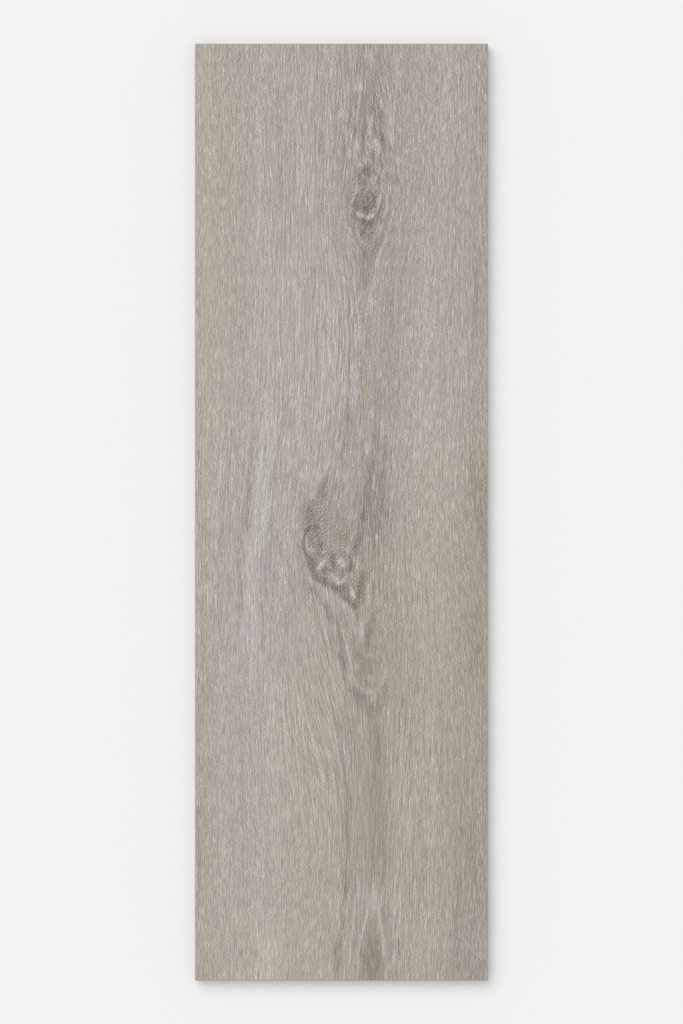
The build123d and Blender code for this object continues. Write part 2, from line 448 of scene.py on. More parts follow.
    (17, "brown", (367, 535, 1.2), (367, 540, 1.2)), (18, "plain", (376, 533, 1), (376, 539, 1)),
    (-22, "plain", (372, 533, 1.4), (372, 537, 1.4)),
    # lower knot
    (-20, "plain", (327, 476, 2.2), (322, 487, 2.6), (317, 497, 2)),
    (-24, "plain", (324, 492, 1.7), (322, 497, 1.7)), (29, "plain", (313, 493, 1.2), (311, 499, 1.3)),
    (16, "plain", (331, 499, 1), (336, 498, 1)),
    (-19, "plain", (311, 498, 3), (309, 514, 5.5), (311, 532, 6)),
    (-35, "plain", (309, 505, 1.4), (309, 513, 1.3)), (-26, "plain", (313, 527, 2.4), (319, 529, 2.2)),
    (-38, "plain", (309, 526, 1.8), (307, 532, 1.7)),
    (-38, "plain", (305, 528, 1.2), (303, 541, 1.3), (304, 550, 1.3), (308, 558, 1.6)),
    (24, "plain", (306, 536, 0.9), (307, 544, 1), (310, 551, 1)), (20, "plain", (311, 544, 1), (315, 553, 1)),
    (13, "lilac", (311, 546, 2), (311, 551, 2)), (-27, "plain", (309, 543, 1.2), (309, 547, 1.2)),
    (-26, "plain", (321, 542, 1.8), (321, 548, 1.8)), (-24, "plain", (318, 549, 1.2), (318, 557, 1.2)),
    (-12, "olive", (342, 531, 6), (342, 542, 6)),
    (-44, "plain", (308, 554, 2.2), (311, 563, 3.6), (314, 573, 3)),
    (-24, "lilac", (315, 561, 1.8), (317, 563, 1.8)),
    (36, "plain", (325, 557, 1.4), (322, 563, 2.5), (317, 569, 1.3)),
    (21, "plain", (323, 549, 1.3), (323, 553, 1.3)),
    (-42, "plain", (313, 573, 3), (320, 579, 4), (330, 585, 3.2)),
    (-28, "plain", (324, 567, 3), (328, 574, 3)), (-30, "plain", (332, 553, 2.2), (334, 569, 2.2)),
    (44, "lilac", (339, 558, 2), (341, 562, 2.8), (344, 566, 2.2)),
    (6, "lilac", (346, 567, 1.7), (347, 570, 1.7)),
    (-24, "plain", (359, 532, 2.4), (356, 546, 3.2), (352, 558, 2.6)),
    (16, "plain", (347, 546, 1.4), (347, 553, 1.4)),
    (-42, "plain", (351, 554, 1.2), (351, 564, 1.4), (349, 574, 1.2)),
    (-20, "brown", (346, 567, 2.2), (348, 571, 2.2)), (19, "plain", (357, 556, 1), (358, 569, 1.1)),
    (20, "plain", (354, 556, 1), (354, 560, 1)), (-18, "plain", (364, 547, 0.9), (363, 563, 0.9)),
    (16, "plain", (360, 546, 1), (360, 550, 1)),
    (30, "blue", (331, 573, 1.4), (335, 577, 1.7), (339, 580, 1.3)),
    (18, "plain", (330, 573, 1.5), (332, 576, 1.5)),
    (42, "plain", (334, 580, 0.9), (338, 583, 1.2), (342, 581, 1.1), (345, 577, 0.9)),
    (18, "plain", (345, 575, 1), (345, 579, 1)), (25, "plain", (351, 572, 1), (350, 578, 1.1)),
    (-40, "plain", (330, 584, 2.4), (339, 590, 3.2)), (-30, "plain", (342, 585, 3), (347, 590, 3.4)),
    (-38, "olive", (341, 590, 3.4), (349, 599, 4.6), (356, 609, 2.8)),
    (-36, "olive", (362, 573, 2.4), (360, 590, 4.4), (356, 606, 3.2)),
    (-28, "plain", (363, 571, 1), (363, 579, 1.1)), (-31, "plain", (354, 585, 1.2), (354, 590, 1.2)),
    (26, "lilac", (351, 586, 1.2), (352, 592, 2), (354, 600, 1.6)),
    (12, "blue", (324, 588, 3), (329, 596, 3.2)), (19, "plain", (309, 575, 1.3), (311, 585, 1.5)),
    (16, "plain", (318, 582, 1), (320, 589, 1)), (-22, "plain", (309, 583, 1), (312, 595, 1), (314, 602, 1)),
    (-18, "plain", (313, 584, 1), (318, 598, 1)),
    (14, "plain", (329, 591, 0.9), (340, 600, 1.4), (346, 606, 1.9), (352, 611, 1.1)),
    (14, "plain", (372, 572, 1.4), (369, 586, 1.8), (367, 606, 1.6)),
    (-20, "plain", (373, 581, 1.1), (374, 594, 1.2)), (12, "plain", (398, 562, 0.9), (398, 592, 1)),
    # tail below the lower knot
    (-19, "plain", (320, 598, 2), (330, 615, 3.1), (337, 628, 3.2), (339, 645, 3.2), (342, 660, 3.6),
     (345, 678, 2.4)),
    (15, "lilac", (340, 601, 2.2), (345, 607, 3.6), (351, 611, 2)),
    (17, "plain", (351, 611, 1), (355, 619, 1.3), (360, 626, 1.1)),
    (-17, "lilac", (357, 613, 1.3), (358, 622, 1.5)),
    (20, "blue", (360, 617, 1.8), (360, 629, 2.4), (361, 640, 1.8)),
    (-28, "plain", (341, 656, 1.4), (341, 661, 1.5)), (-26, "plain", (344, 666, 1.5), (344, 670, 1.5)),
    (-25, "brown", (344, 676, 2), (344, 681, 2)), (-3, "brown", (353, 618, 2.4), (353, 640, 2.8)),
    (-15, "brown", (352, 650, 3), (358, 660, 3)), (-9, "plain", (372, 608, 1.6), (372, 618, 2.4)),
    (-21, "plain", (372, 612, 2.4), (371, 622, 3.2), (368, 635, 3.6), (366, 650, 2.8)),
    (-28, "plain", (368, 642, 1.3), (368, 647, 1.3)),
    (14, "blue", (340, 620, 0.8), (343, 632, 1), (346, 642, 1.2), (349, 655, 1.6), (351, 668, 1.5),
     (356, 687, 1)),
    (15, "plain", (332, 625, 0.8), (337, 640, 1), (338, 652, 0.9)),
    (12, "plain", (325, 629, 0.9), (328, 645, 1.1), (331, 664, 0.9)),
    (16, "plain", (321, 616, 1), (322, 626, 1)), (14, "plain", (337, 659, 0.9), (338, 671, 0.9)),
    (9, "plain", (361, 646, 1.2), (366, 656, 1.5), (375, 652, 1.3)),
    (-12, "plain", (361, 662, 4), (369, 670, 5)), (7, "plain", (357, 664, 2.4), (357, 670, 2.6)),
    (16, "plain", (384, 667, 0.9), (385, 678, 1)), (3, "brown", (364, 676, 2.4), (373, 677, 2.4)),
    (-24, "plain", (385, 680, 1.4), (384, 692, 1.8), (381, 704, 2)),
    (-20, "plain", (345, 677, 2), (352, 690, 3.2), (361, 699, 4.6), (370, 709, 5.4), (374, 722, 3)),
    (-20, "plain", (386, 680, 1.4), (384, 692, 2.6), (379, 705, 4.4), (374, 722, 3)),
    (-14, "plain", (374, 716, 2.6), (376, 738, 3.4), (377, 764, 3)),
    (-28, "plain", (362, 691, 2), (362, 697, 2)), (-30, "plain", (373, 702, 1.4), (372, 718, 1.4)),
    (16, "lilac", (352, 674, 1.2), (358, 686, 1.6), (366, 691, 1.9)),
    (8, "plain", (364, 691, 1.6), (374, 690, 1.8), (381, 684, 1.3), (385, 673, 1)),
    (-8, "plain", (298, 542, 0.9), (307, 589, 1.2), (319, 624, 1.2), (330, 669, 0.9)),
    (-8, "plain", (319, 662, 0.9), (327, 690, 1.2)),
    (-15, "plain", (328, 688, 1), (334, 720, 1.4), (340, 747, 1.6), (345, 783, 1.4)),
    (13, "plain", (324, 678, 0.8), (331, 718, 1), (336, 744, 1.1), (342, 776, 0.9)),
    (14, "lilac", (344, 740, 1), (346, 754, 1.4), (349, 772, 1.1)),
    (-18, "plain", (345, 780, 1.2), (348, 822, 2.2), (347, 864, 1.2)),
    # flame at the foot of the tile
    (-14, "olive", (373, 913, 1.6), (373, 930, 4.6), (372, 950, 8), (370, 985, 12)),
    (-28, "brown", (365, 957, 2), (367, 970, 3.4)), (-23, "plain", (371, 970, 2), (371, 984, 2.4)),
    (14, "lilac", (356, 872, 1.6), (358, 886, 1.8), (358, 898, 1.4)),
    (10, "plain", (371, 884, 1.5), (376, 894, 2)),
    (18, "blue", (373, 888, 1.6), (373, 900, 4), (373, 913, 4)), (2, "blue", (373, 899, 1), (373, 909, 1.2)),
    (22, "plain", (368, 904, 1), (366, 918, 1.1), (363, 930, 1), (360, 944, 0.9)),
    (16, "lilac", (361, 940, 1), (358, 955, 1), (357, 978, 0.8)),
    (20, "lilac", (378, 900, 1), (379, 914, 1.2), (380, 926, 1.2), (382, 940, 1), (383, 962, 0.8)),
    (0, "plain", (360, 904, 3.4), (360, 912, 3.6)), (-13, "brown", (336, 938, 1.4), (335, 956, 1.6)),
    (14, "plain", (355, 893, 0.8), (354, 910, 1), (352, 925, 1), (350, 945, 0.9), (349, 964, 0.8)),
    (12, "plain", (349, 890, 0.8), (347, 905, 1), (346, 917, 0.8)),
    (18, "plain", (341, 893, 0.9), (338, 908, 1.1), (335, 924, 0.9)),
    (-19, "plain", (346, 883, 1.4), (346, 897, 1.5)), (14, "plain", (396, 872, 1), (395, 887, 1)),
    (20, "plain", (401, 878, 1), (400, 902, 1)), (20, "plain", (394, 898, 1), (393, 917, 1)),
    (12, "plain", (399, 893, 1), (399, 920, 1)), (4, "lilac", (391, 918, 3), (391, 928, 3.4)),
    (-21, "plain", (399, 938, 0.9), (399, 960, 0.9)), (10, "plain", (394, 933, 0.8), (394, 962, 0.9)),
    (-9, "plain", (396, 878, 1), (396, 920, 1.2)),
    # dark mark at the right edge
    (-16, "plain", (471, 443, 1.2), (472, 470, 2), (474, 490, 3), (479, 513, 4), (483, 536, 3),
     (485, 560, 2)),
]


# soft washes over them, which add up
washes = [
    # tone, tint, then x, y and half width at each point along the wash
    (-10, "plain", (378, 438, 2.5), (370, 474, 3.5), (363, 506, 4.5), (358, 560, 3.5)),
    (-10, "plain", (388, 439, 2), (383, 471, 4), (378, 506, 5), (377, 536, 3)),
    (-10, "brown", (365, 246, 4), (365, 262, 6), (364, 287, 4)),
    (-9, "plain", (376, 730, 5), (378, 770, 8), (378, 808, 8), (381, 880, 6)),
    (-9, "plain", (347, 862, 2), (345, 890, 3), (341, 924, 3), (336, 978, 2)),
    (-5, "brown", (479, 600, 7), (478, 672, 8)),
    (-6, "plain", (465, 734, 12), (468, 844, 18), (463, 974, 18)),
    (-4, "brown", (480, 440, 5), (481, 490, 6)), (3, "blue", (257, 127, 4), (256, 148, 4)),
    (4, "lilac", (294, 279, 4), (296, 300, 4)), (3, "lilac", (241, 600, 4), (237, 640, 7), (228, 688, 6)),
    (2, "lilac", (307, 439, 4), (302, 465, 5)), (3, "lilac", (325, 452, 3), (319, 470, 5)),
    (0, "lilac", (284, 505, 3.5), (283, 560, 4)), (1, "lilac", (293, 495, 4), (291, 545, 4)),
    (0, "lilac", (272, 565, 4), (272, 588, 4)),
    (-4, "plain", (277, 470, 2.5), (274, 520, 3.5), (272, 555, 3)),
    (-6, "lilac", (268, 556, 3), (265, 584, 4.5), (264, 608, 3)), (-2, "olive", (366, 366, 5), (367, 405, 5)),
    (-3, "olive", (244, 512, 3), (244, 532, 3)), (-12, "plain", (318, 490, 8), (313, 520, 9), (312, 548, 6)),
    (-4, "plain", (340, 500, 12), (344, 530, 13), (338, 552, 8)),
    # above the upper knot
    (-9, "plain", (381, 106, 2.6), (381, 130, 3), (384, 150, 2.6)), (8, "plain", (347, 93, 3), (348, 106, 3)),
    (7, "plain", (382, 76, 2.4), (384, 94, 2.4)), (-7, "plain", (379, 98, 2), (380, 120, 3)),
    (6, "plain", (352, 50, 3), (352, 64, 3)), (6, "plain", (367, 80, 3), (367, 90, 3)),
    # upper knot
    (-14, "plain", (368, 158, 5), (366, 176, 7), (364, 188, 7), (366, 214, 8), (367, 238, 7), (372, 254, 4)),
    (-6, "plain", (350, 205, 4), (352, 232, 5)), (-7, "plain", (372, 212, 3), (376, 226, 4), (372, 238, 3)),
    (-7, "plain", (380, 160, 3), (380, 168, 3)), (8, "lilac", (371, 294, 3), (369, 312, 4)),
    (5, "plain", (344, 262, 4), (345, 310, 5)), (-9, "plain", (365, 156, 2), (365, 159, 2)),
    (9, "plain", (361, 165, 2), (362, 168, 2)), (-10, "plain", (378, 176, 2.4), (378, 188, 2.4)),
    (10, "plain", (383, 186, 2), (384, 202, 2.4)),
    (-10, "plain", (353, 180, 2), (350, 196, 2.2), (347, 212, 2)), (7, "plain", (357, 186, 2), (357, 193, 2)),
    (-10, "plain", (355, 202, 3), (356, 212, 2.6)), (-9, "plain", (370, 202, 3), (370, 211, 2.6)),
    (-9, "plain", (376, 216, 2.6), (369, 226, 3), (362, 236, 2)),
    (-9, "plain", (388, 210, 2), (387, 224, 2.4)), (-9, "plain", (350, 222, 2), (355, 244, 2)),
    (-10, "plain", (378, 243, 2.4), (377, 254, 2.4)), (-8, "plain", (373, 268, 1.6), (372, 287, 1.6)),
    (6, "plain", (390, 258, 3), (386, 270, 3)), (-8, "plain", (398, 250, 1.8), (397, 270, 1.8)),
    (-6, "plain", (347, 270, 2), (347, 294, 2)),
    # beside the blue band
    (8, "lilac", (267, 404, 5), (273, 432, 6)), (5, "blue", (266, 452, 4), (265, 478, 5)),
    (-9, "plain", (250, 490, 3), (247, 515, 4.5), (241, 545, 4), (240, 562, 3)),
    (8, "plain", (255, 612, 3), (254, 645, 3.5)), (-9, "plain", (241, 592, 3), (240, 612, 3)),
    (5, "plain", (289, 500, 3), (289, 552, 3.5)), (-5, "plain", (270, 522, 3), (267, 560, 3), (268, 620, 3)),
    (-6, "plain", (298, 566, 4), (302, 590, 4)), (5, "plain", (302, 604, 4), (304, 638, 4)),
    # lower knot
    (-11, "plain", (316, 532, 6), (322, 556, 9), (324, 580, 7)),
    (-11, "plain", (336, 546, 7), (344, 572, 9), (340, 590, 6)),
    (-5, "plain", (366, 520, 6), (380, 530, 8), (372, 552, 7)), (-6, "plain", (390, 495, 5), (392, 562, 5)),
    (-6, "plain", (330, 476, 6), (326, 505, 5), (330, 532, 6)),
    (-8, "plain", (330, 626, 4), (340, 640, 6), (352, 640, 6), (364, 628, 5)),
    (-6, "plain", (350, 662, 5), (360, 682, 6), (354, 696, 5)), (5, "plain", (308, 608, 5), (316, 630, 4)),
    (-7, "plain", (352, 604, 5), (344, 618, 4)), (-9, "plain", (334, 466, 2.5), (334, 474, 2.5)),
    (9, "plain", (313, 483, 2.4), (310, 502, 2.4)), (-6, "plain", (321, 496, 3), (319, 506, 3)),
    (-7, "plain", (305, 526, 2.4), (313, 544, 3), (316, 562, 3)),
    (-10, "plain", (341, 573, 3), (347, 583, 3)), (-8, "plain", (338, 588, 3), (338, 612, 3)),
    (9, "plain", (310, 592, 2.4), (311, 604, 2.4)), (6, "plain", (378, 594, 3), (378, 606, 3)),
    (-7, "plain", (328, 632, 2.4), (331, 654, 2.4)), (-11, "plain", (361, 652, 3.4), (364, 659, 3)),
    (-6, "plain", (369, 626, 3), (371, 650, 3)), (-8, "olive", (356, 648, 5), (365, 666, 8), (370, 690, 8)),
    # flame
    (-6, "plain", (346, 872, 4), (352, 902, 5)), (-8, "plain", (337, 930, 4), (334, 978, 5)),
    (-10, "plain", (374, 940, 7), (372, 986, 9)), (-5, "plain", (385, 906, 4), (386, 932, 4)),
]

# how a mark lies round its path
stroke = {
    "step": 1.5,                # mm between the points of a rounded path
    "reach": 3.0,               # half widths from a path to where its mark has died away
    "fade": 0.3,                # share of a mark's length that fades at each end, at most
    "endShare": 0.6,            # how much of that fade is cut off at the very end
    "fall": 0.7,                # leaves a half at the half width
    "crispEdge": 3,             # power of the fall to the sides: the higher, the harder the edge
    "softEdge": 2,
    "streakFade": 0.25,         # share of a streak's length that fades at each end
}


def smoothStep(value):
    held = np.clip(value, 0, 1)
    return held * held * (3 - 2 * held)


def wander(x, y, size, seed):
    # a smooth random field between -1 and 1, whose lumps are size mm across
    tall, wide = 97, 89     # lumps up and across before the field repeats
    table = np.random.default_rng(seed).uniform(-1, 1, (tall, wide))
    column, row = np.floor(x / size).astype(int), np.floor(y / size).astype(int)
    across, along = smoothStep(x / size - column), smoothStep(y / size - row)
    ends = []
    for nextRow in (row % tall, (row + 1) % tall):
        left, right = table[nextRow, column % wide], table[nextRow, (column + 1) % wide]
        ends.append(left + (right - left) * across)
    return ends[0] + (ends[1] - ends[0]) * along


def smoothPath(marks):
    # rounds a listed path through its marks, and carries its half width with it, all in mm
    middle, pixel = photo["middle"], photo["pixel"]
    px, py, half = np.array(marks, dtype=float).T
    knots = np.column_stack([px - middle[0], middle[1] - py, half]) * pixel
    if len(knots) == 2:
        knots = np.array([knots[0], (knots[0] + knots[1]) / 2, knots[1]])
    ends = np.vstack([2 * knots[0] - knots[1], knots, 2 * knots[-1] - knots[-2]])
    made = []
    for a, b, c, d in zip(ends, ends[1:], ends[2:], ends[3:]):
        count = max(2, int(np.linalg.norm(c[:2] - b[:2]) / stroke["step"]))
        square, cube = 2 * a - 5 * b + 4 * c - d, 3 * b - a - 3 * c + d
        for t in np.arange(count) / count:
            made.append(0.5 * (2 * b + (c - a) * t + square * t ** 2 + cube * t ** 3))
    made.append(knots[-1])
    return np.array(made)


def strokeMask(x, y, marks, crisp):
    # one on the mark's path and a half at its half width, with ends that fade out
    path = smoothPath(marks)
    reach = stroke["reach"] * path[:, 2].max()
    low, high = path[:, :2].min(0) - reach, path[:, :2].max(0) + reach
    near = np.flatnonzero((x > low[0]) & (x < high[0]) & (y > low[1]) & (y < high[1]))
    runs = np.concatenate([[0], np.cumsum(np.linalg.norm(np.diff(path[:, :2], axis=0), axis=1))])
    fade = min(reach, stroke["fade"] * runs[-1])
    cut = stroke["endShare"] * fade
    best = np.full(len(near), np.inf)
    strength = np.zeros(len(near))
    px, py = x[near], y[near]
    for start, end, runStart, runEnd in zip(path, path[1:], runs, runs[1:]):
        side = end[:2] - start[:2]
        t = np.clip(((px - start[0]) * side[0] + (py - start[1]) * side[1]) / max(side @ side, 1e-9), 0, 1)
        half = start[2] + (end[2] - start[2]) * t
        away = np.hypot(px - start[0] - side[0] * t, py - start[1] - side[1] * t) / half
        run = runStart + (runEnd - runStart) * t
        closer = away < best
        best = np.where(closer, away, best)
        ends = smoothStep((np.minimum(run, runs[-1] - run) + cut) / (fade + cut))
        strength = np.where(closer, ends, strength)
    power = stroke["crispEdge"] if crisp else stroke["softEdge"]
    return near, np.exp(-stroke["fall"] * best ** power) * strength


def addStreak(tone, x, y, across, streak, spread=1.0):
    line, top, bottom, half, level = streak
    fade = stroke["streakFade"] * (top - bottom)
    length = smoothStep((top - y) / fade) * smoothStep((y - bottom) / fade)
    tone += level * np.exp(-((across - line) / (half * spread)) ** 2) * length


def patch(x, y, atX, atY, reachX, reachY):
    # one at its middle, and a soft fall to nothing
    return np.exp(-((x - atX) / reachX) ** 2 - ((y - atY) / reachY) ** 2)


def drawPrint(x, y, across, spread):
    # tone, contrast of the ticks, share of curled figure, tint and flow at each point of the face
    tone = np.zeros_like(x)
    contrast = np.ones_like(x)
    flow = np.zeros_like(x)
    curled = np.zeros_like(x)
    tint = np.zeros((len(x), 3))
    for field, patches in ((tone, broadTones), (contrast, contrastPatches), (flow, flowPatches)):
        for *spot, height in patches:
            field += height * patch(x, y, *spot)
    for *spot, hue, share in tintPatches:
        tint += np.outer(share * patch(x, y, *spot), tints[hue])
    for atX, atY, reachX, reachY, share in curledPatches:
        away = ((x - atX) / reachX) ** 2 + ((y - atY) / reachY) ** 2
        curled = np.maximum(curled, share * np.exp(-away ** 2))
    for streak in grainStreaks:
        addStreak(tone, x, y, across, streak)
    dice = np.random.default_rng(faintStreaks["seed"])
    for _ in range(faintStreaks["count"]):
        run = dice.uniform(*faintStreaks["length"])
        top = dice.uniform(-tileLength / 2, tileLength / 2 + run)
        line = dice.uniform(-tileWidth / 2, tileWidth / 2)
        half = dice.uniform(*faintStreaks["halfWidth"])
        level = faintStreaks["tone"] * dice.choice([-1, 1]) * dice.uniform(faintStreaks["least"], 1.0)
        addStreak(tone, x, y, across, (line, top, top - run, half, level), spread)
    wobble, size = photo["wobble"], photo["wobbleSize"]
    seedX, seedY, seedPatch = photo["seeds"]
    x, y = x + wobble * wander(x, y, size, seedX), y + wobble * wander(x, y, size, seedY)
    cover = 1 + photo["patchy"] * wander(x, y, photo["patchSize"], seedPatch)
    for level, hue, *marks in crispMarks:
        near, mask = strokeMask(x, y, marks, crisp=True)
        mask = np.minimum(mask * cover[near], 1)
        tone[near] += (level - tone[near]) * mask
        tint[near] += (np.array(tints[hue]) - tint[near]) * mask[:, None]
    for level, hue, *marks in washes:
        near, mask = strokeMask(x, y, marks, crisp=False)
        tone[near] += level * mask
        tint[near] += np.outer(mask, tints[hue])
    return tone, contrast, curled, tint, np.clip(flow, *flowLimits)


# The plank. Its face is a fine grid that follows the relief, its edges are ground square with a
# small arris, and its back has the press's keys.

plank = {
    "faceArris": 0.6,
    "backArris": 0.4,
    "columns": 300,             # squares across the face
    "rows": 300,                # squares along it
    # x or y where the squares lie closer, over what reach, and how much closer
    "closeColumns": [(7, 30, 1.6)],
    "closeRows": [(198, 24, 4.0), (245, 30, 0.8), (-15, 45, 4.0), (-105, 35, 1.2), (-270, 30, 0.8)],
    "grooveDepth": 0.10,        # open grain pressed into the face
    "grooveWidth": 2.6,
    "grooveLength": 60.0,
    "markDepth": 0.09,          # how far a dark mark of the print sinks
    "grooveCell": 30.0,         # cells of grain within which the grooves keep their spacing
    "grooveEdge": (-0.05, 0.22),    # levels of the noise where a groove starts and is at its deepest
    "markTones": (-5.0, -30.0),     # tones where a mark starts to sink and is at its deepest
    "reliefMargin": 4.0,        # the relief dies out over this much at the edges
    "spreadLimits": (0.4, 3.0),     # how far the grain may open up and close up
    "weld": 0.02,               # keys and shell join within this
    "sharpAngle": 25.0,         # degrees; flatter edges are shaded smooth
    "seed": 7,
}
backKey = {
    "rim": 8.0,                 # flat band round the back
    "rib": 3.0,
    "pitch": 29.0,              # wished spacing, which the counts are worked out from
    "depth": 0.8,
    "draft": 30.0,              # lean of the pocket walls, degrees
    "corner": 3.0,
    "softness": 0.22,           # rounding of the pressed edges
}


def gridLines(half, count, dense, samples=4001):
    # count + 1 places from -half to half, closer together round each (place, reach, gain) of dense
    fine = np.linspace(-half, half, samples)
    weight = np.ones_like(fine)
    for place, reach, gain in dense:
        weight += gain * np.exp(-((fine - place) / reach) ** 2)
    run = np.concatenate([[0], np.cumsum((weight[1:] + weight[:-1]) / 2)])
    return np.interp(np.linspace(0, run[-1], count + 1), run, fine)


def keyRow(side):
    # how many pockets a side takes, and how wide each mouth is
    field = side - 2 * backKey["rim"]
    count = max(1, round((field + backKey["rib"]) / backKey["pitch"]))
    return count, (field - (count - 1) * backKey["rib"]) / count


def writeGrain(mesh, place, printed):
    # grain coordinates, print and the printed area ride on the mesh as attributes
    x, y = place[:, 0], place[:, 1]
    step = 0.05     # mm, to find how close the lines of the grain lie
    across = grainAcross(x, y)
    slopeX = (grainAcross(x + step, y) - across) / step
    slopeY = (grainAcross(x, y + step) - across) / step
    spread = np.clip(np.hypot(slopeX, slopeY), *plank["spreadLimits"])
    tone, contrast, curled, tint, flow = drawPrint(x, y, across, spread)
    grain = np.column_stack([across * mm, y * mm, spread])
    inks = np.column_stack([tone, contrast, curled])
    for name, values in (("grain", grain), ("inks", inks), ("tint", tint)):
        mesh.attributes.new(name, "FLOAT_VECTOR", "POINT").data.foreach_set("vector", values.ravel())
    mesh.attributes.new("flow", "FLOAT", "POINT").data.foreach_set("value", flow)
    mesh.attributes.new("printed", "BOOLEAN", "FACE").data.foreach_set("value", printed)


def faceGrid():
    # the walking face: its points, its squares, and the points of its four sides anticlockwise
    arris = plank["faceArris"]
    columns = gridLines(tileWidth / 2 - arris, plank["columns"], plank["closeColumns"])
    rows = gridLines(tileLength / 2 - arris, plank["rows"], plank["closeRows"])
    gridX, gridY = np.meshgrid(columns, rows)
    points = [(px, py, tileThick) for px, py in zip(gridX.ravel(), gridY.ravel())]
    wide, tall = len(columns), len(rows)
    faces = []
    for j in range(tall - 1):
        for i in range(wide - 1):
            corner = j * wide + i
            faces.append((corner, corner + 1, corner + wide + 1, corner + wide))
    sides = [
        list(range(wide)),
        [j * wide + wide - 1 for j in range(tall)],
        [(tall - 1) * wide + i for i in reversed(range(wide))],
        [j * wide for j in reversed(range(tall))],
    ]
    return points, faces, sides


def shellMesh():
    # the whole tile but for the field of keys
    halfX, halfY = tileWidth / 2, tileLength / 2
    arris, backArris = plank["faceArris"], plank["backArris"]
    points, faces, sides = faceGrid()
    printed = len(faces)

    # the arris round the face
    outX, outY = halfX / (halfX - arris), halfY / (halfY - arris)
    ground = {}
    for side in sides:
        for index in side:
            if index not in ground:
                px, py = points[index][:2]
                ground[index] = len(points)
                points.append((px * outX, py * outY, tileThick - arris))
    for side in sides:
        for a, b in zip(side, side[1:]):
            faces.append((b, a, ground[a], ground[b]))

    # square sides, back arris and the flat band round the keys
    signs = [(-1, -1), (1, -1), (1, 1), (-1, 1)]
    foot = len(points)
    points += [(sx * halfX, sy * halfY, backArris) for sx, sy in signs]
    sole = len(points)
    points += [(sx * (halfX - backArris), sy * (halfY - backArris), 0) for sx, sy in signs]
    countX, countY = keyRow(tileWidth)[0], keyRow(tileLength)[0]
    fieldX = halfX - backKey["rim"] + backKey["rib"] / 2    # a key cell has half a rib round its mouth
    fieldY = halfY - backKey["rim"] + backKey["rib"] / 2
    for n, side in enumerate(sides):
        m = (n + 1) % 4
        faces.append([ground[index] for index in reversed(side)] + [foot + n, foot + m])
        faces.append((foot + m, foot + n, sole + n, sole + m))
        steps = countX if n % 2 == 0 else countY
        start, end = np.array(signs[n]), np.array(signs[m])
        inner = []
        for k in range(steps + 1):
            sx, sy = start + (end - start) * k / steps
            inner.append(len(points))
            points.append((sx * fieldX, sy * fieldY, 0))
        faces.append([sole + m, sole + n] + inner)
    mesh = bpy.data.meshes.new("plankShell")
    mesh.from_pydata([tuple(np.array(p) * mm) for p in points], [], faces)
    writeGrain(mesh, np.array(points), np.arange(len(faces)) < printed)
    print("shell:", len(points), "points,", len(faces), "faces")
    return mesh


def keyCellMesh():
    # one key with its share of the ribs round it, facing down, its middle at the origin
    mouthX, mouthY = keyRow(tileWidth)[1], keyRow(tileLength)[1]
    cut, lean = backKey["corner"], backKey["depth"] * math.tan(math.radians(backKey["draft"]))
    cell = bmesh.new()

    def octagon(halfX, halfY, corner, z):
        spots = []
        for sx, sy, first in ((1, -1, "y"), (1, 1, "x"), (-1, 1, "y"), (-1, -1, "x")):
            ax = (sx * (halfX - corner), sy * halfY, z)
            ay = (sx * halfX, sy * (halfY - corner), z)
            spots += [ax, ay] if first == "y" else [ay, ax]
        return [cell.verts.new(np.array(spot) * mm) for spot in spots]

    halfX, halfY = mouthX / 2 + backKey["rib"] / 2, mouthY / 2 + backKey["rib"] / 2
    signs = ((1, -1), (1, 1), (-1, 1), (-1, -1))
    outer = [cell.verts.new((sx * halfX * mm, sy * halfY * mm, 0)) for sx, sy in signs]
    mouth = octagon(mouthX / 2, mouthY / 2, cut, 0)
    floorCorner = cut - lean * (2 - math.sqrt(2))       # so that the cut corners lean like the walls
    bed = octagon(mouthX / 2 - lean, mouthY / 2 - lean, floorCorner, backKey["depth"])
    for n in range(4):
        m = (n + 1) % 4
        cell.faces.new((outer[n], mouth[2 * n], mouth[2 * n + 1]))
        cell.faces.new((outer[n], mouth[2 * n + 1], mouth[2 * m], outer[m]))
    for n in range(8):
        cell.faces.new((mouth[n], bed[n], bed[(n + 1) % 8], mouth[(n + 1) % 8]))
    cell.faces.new(bed)
    cell.normal_update()
    for face in cell.faces:
        if face.normal.z > 0:
            face.normal_flip()
    pressed = [e for e in cell.edges if all(v in mouth for v in e.verts) or all(v in bed for v in e.verts)]
    soft = backKey["softness"] * mm
    bmesh.ops.bevel(cell, geom=pressed, offset=soft, segments=2, profile=0.5, affect="EDGES")
    mesh = bpy.data.meshes.new("keyCell")
    cell.to_mesh(mesh)
    cell.free()
    print("key cell:", len(mesh.polygons), "faces")
    return mesh


# Materials

